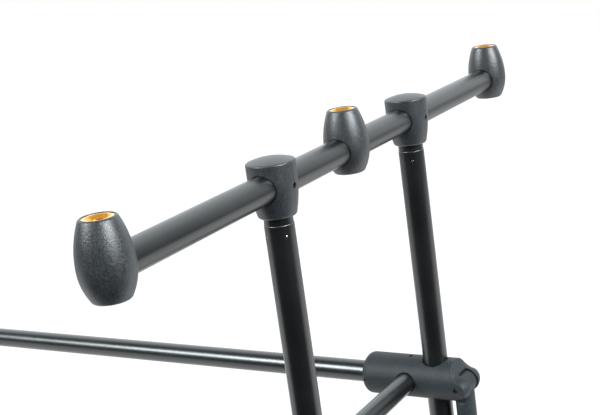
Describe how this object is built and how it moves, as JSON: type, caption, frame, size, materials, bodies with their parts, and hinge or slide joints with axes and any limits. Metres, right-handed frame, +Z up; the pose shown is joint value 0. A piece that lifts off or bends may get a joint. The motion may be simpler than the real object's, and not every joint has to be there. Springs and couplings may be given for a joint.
{
  "type": "rod pod",
  "caption": "Free-standing fishing rod pod: buzz bars with threaded heads on sliding uprights, telescopic side rails and folding, extendable legs.",
  "frame": {"origin": "on the ground, under the middle of the pod", "axes": "+X along the rails to the front end, +Y along the buzz bars to the left side, +Z up"},
  "size_m": [0.756, 0.453, 0.4997],
  "materials": {
    "grained_plastic": "dark grey, fine moulded grain",
    "anodised_tube": "black anodised, satin gloss",
    "brass": "turned, bright",
    "steel": "plain, machined",
    "rubber": "matt, moulded"
  },
  "bodies": {
    "front_frame": {"front_left_hub": "grained_plastic", "front_right_hub": "grained_plastic", "front_cross_bar": "anodised_tube", "front_hub_screws": "steel", "front_pivot_pins": "steel", "left_inner_rail": "anodised_tube", "right_inner_rail": "anodised_tube"},
    "front_goalpost": {"front_buzz_bar": "anodised_tube", "front_middle_head": "grained_plastic", "front_inserts": "brass", "front_tee_rivets": "steel", "front_bar_screws": "steel", "front_upright_caps": "grained_plastic", "front_left_outer_head": "grained_plastic", "front_left_tee": "grained_plastic", "front_left_upright": "anodised_tube", "front_right_outer_head": "grained_plastic", "front_right_tee": "grained_plastic", "front_right_upright": "anodised_tube"},
    "rear_frame": {"rear_left_hub": "grained_plastic", "rear_right_hub": "grained_plastic", "rear_cross_bar": "anodised_tube", "rear_hub_screws": "steel", "rear_pivot_pins": "steel", "left_outer_rail": "anodised_tube", "right_outer_rail": "anodised_tube"},
    "rear_goalpost": {"rear_buzz_bar": "anodised_tube", "rear_middle_head": "grained_plastic", "rear_inserts": "brass", "rear_tee_rivets": "steel", "rear_bar_screws": "steel", "rear_upright_caps": "grained_plastic", "rear_left_outer_head": "grained_plastic", "rear_left_tee": "grained_plastic", "rear_left_upright": "anodised_tube", "rear_right_outer_head": "grained_plastic", "rear_right_tee": "grained_plastic", "rear_right_upright": "anodised_tube"},
    "front_left_leg": {"front_left_leg_knuckle": "grained_plastic", "front_left_leg_tube": "anodised_tube"},
    "front_left_leg_lock": {"front_left_leg_collar": "grained_plastic"},
    "front_left_lower_leg": {"front_left_leg_extension": "anodised_tube", "front_left_foot": "rubber"},
    "front_right_leg": {"front_right_leg_knuckle": "grained_plastic", "front_right_leg_tube": "anodised_tube"},
    "front_right_leg_lock": {"front_right_leg_collar": "grained_plastic"},
    "front_right_lower_leg": {"front_right_leg_extension": "anodised_tube", "front_right_foot": "rubber"},
    "rear_left_leg": {"rear_left_leg_knuckle": "grained_plastic", "rear_left_leg_tube": "anodised_tube"},
    "rear_left_leg_lock": {"rear_left_leg_collar": "grained_plastic"},
    "rear_left_lower_leg": {"rear_left_leg_extension": "anodised_tube", "rear_left_foot": "rubber"},
    "rear_right_leg": {"rear_right_leg_knuckle": "grained_plastic", "rear_right_leg_tube": "anodised_tube"},
    "rear_right_leg_lock": {"rear_right_leg_collar": "grained_plastic"},
    "rear_right_lower_leg": {"rear_right_leg_extension": "anodised_tube", "rear_right_foot": "rubber"},
    "left_rail_lock": {"left_rail_collar": "grained_plastic"},
    "right_rail_lock": {"right_rail_collar": "grained_plastic"}
  },
  "joints": [
    {"name": "rail_length", "type": "slide", "parent": "front_frame", "child": "rear_frame", "axis": [-1, 0, 0], "range_m": [-0.04, 0.12]},
    {"name": "front_height", "type": "slide", "parent": "front_frame", "child": "front_goalpost", "axis": [0, 0, 1], "range_m": [-0.1, 0.06]},
    {"name": "front_left_leg_fold", "type": "hinge", "parent": "front_frame", "child": "front_left_leg", "pos_m": [0.3683, 0.08, 0.3002], "axis": [0, -1, 0], "range_deg": [0, 90]},
    {"name": "front_left_leg_length", "type": "slide", "parent": "front_left_leg", "child": "front_left_lower_leg", "axis": [0, 0, -1], "range_m": [-0.03, 0.08]},
    {"name": "front_left_leg_twist", "type": "hinge", "parent": "front_left_leg", "child": "front_left_leg_lock", "pos_m": [0.3683, 0.08, 0.1066], "axis": [0, 0, 1], "range_deg": [0, 120]},
    {"name": "front_right_leg_fold", "type": "hinge", "parent": "front_frame", "child": "front_right_leg", "pos_m": [0.3683, -0.08, 0.3002], "axis": [0, -1, 0], "range_deg": [0, 90]},
    {"name": "front_right_leg_length", "type": "slide", "parent": "front_right_leg", "child": "front_right_lower_leg", "axis": [0, 0, -1], "range_m": [-0.03, 0.08]},
    {"name": "front_right_leg_twist", "type": "hinge", "parent": "front_right_leg", "child": "front_right_leg_lock", "pos_m": [0.3683, -0.08, 0.1066], "axis": [0, 0, 1], "range_deg": [0, 120]},
    {"name": "rear_height", "type": "slide", "parent": "rear_frame", "child": "rear_goalpost", "axis": [0, 0, 1], "range_m": [-0.1, 0.06]},
    {"name": "rear_left_leg_fold", "type": "hinge", "parent": "rear_frame", "child": "rear_left_leg", "pos_m": [-0.3683, 0.08, 0.3002], "axis": [0, 1, 0], "range_deg": [0, 90]},
    {"name": "rear_left_leg_length", "type": "slide", "parent": "rear_left_leg", "child": "rear_left_lower_leg", "axis": [0, 0, -1], "range_m": [-0.03, 0.08]},
    {"name": "rear_left_leg_twist", "type": "hinge", "parent": "rear_left_leg", "child": "rear_left_leg_lock", "pos_m": [-0.3683, 0.08, 0.1066], "axis": [0, 0, 1], "range_deg": [0, 120]},
    {"name": "rear_right_leg_fold", "type": "hinge", "parent": "rear_frame", "child": "rear_right_leg", "pos_m": [-0.3683, -0.08, 0.3002], "axis": [0, 1, 0], "range_deg": [0, 90]},
    {"name": "rear_right_leg_length", "type": "slide", "parent": "rear_right_leg", "child": "rear_right_lower_leg", "axis": [0, 0, -1], "range_m": [-0.03, 0.08]},
    {"name": "rear_right_leg_twist", "type": "hinge", "parent": "rear_right_leg", "child": "rear_right_leg_lock", "pos_m": [-0.3683, -0.08, 0.1066], "axis": [0, 0, 1], "range_deg": [0, 120]},
    {"name": "left_rail_twist", "type": "hinge", "parent": "rear_frame", "child": "left_rail_lock", "pos_m": [-0.077, 0.08, 0.3025], "axis": [1, 0, 0], "range_deg": [0, 120]},
    {"name": "right_rail_twist", "type": "hinge", "parent": "rear_frame", "child": "right_rail_lock", "pos_m": [-0.077, -0.08, 0.3025], "axis": [1, 0, 0], "range_deg": [0, 120]}
  ]
}
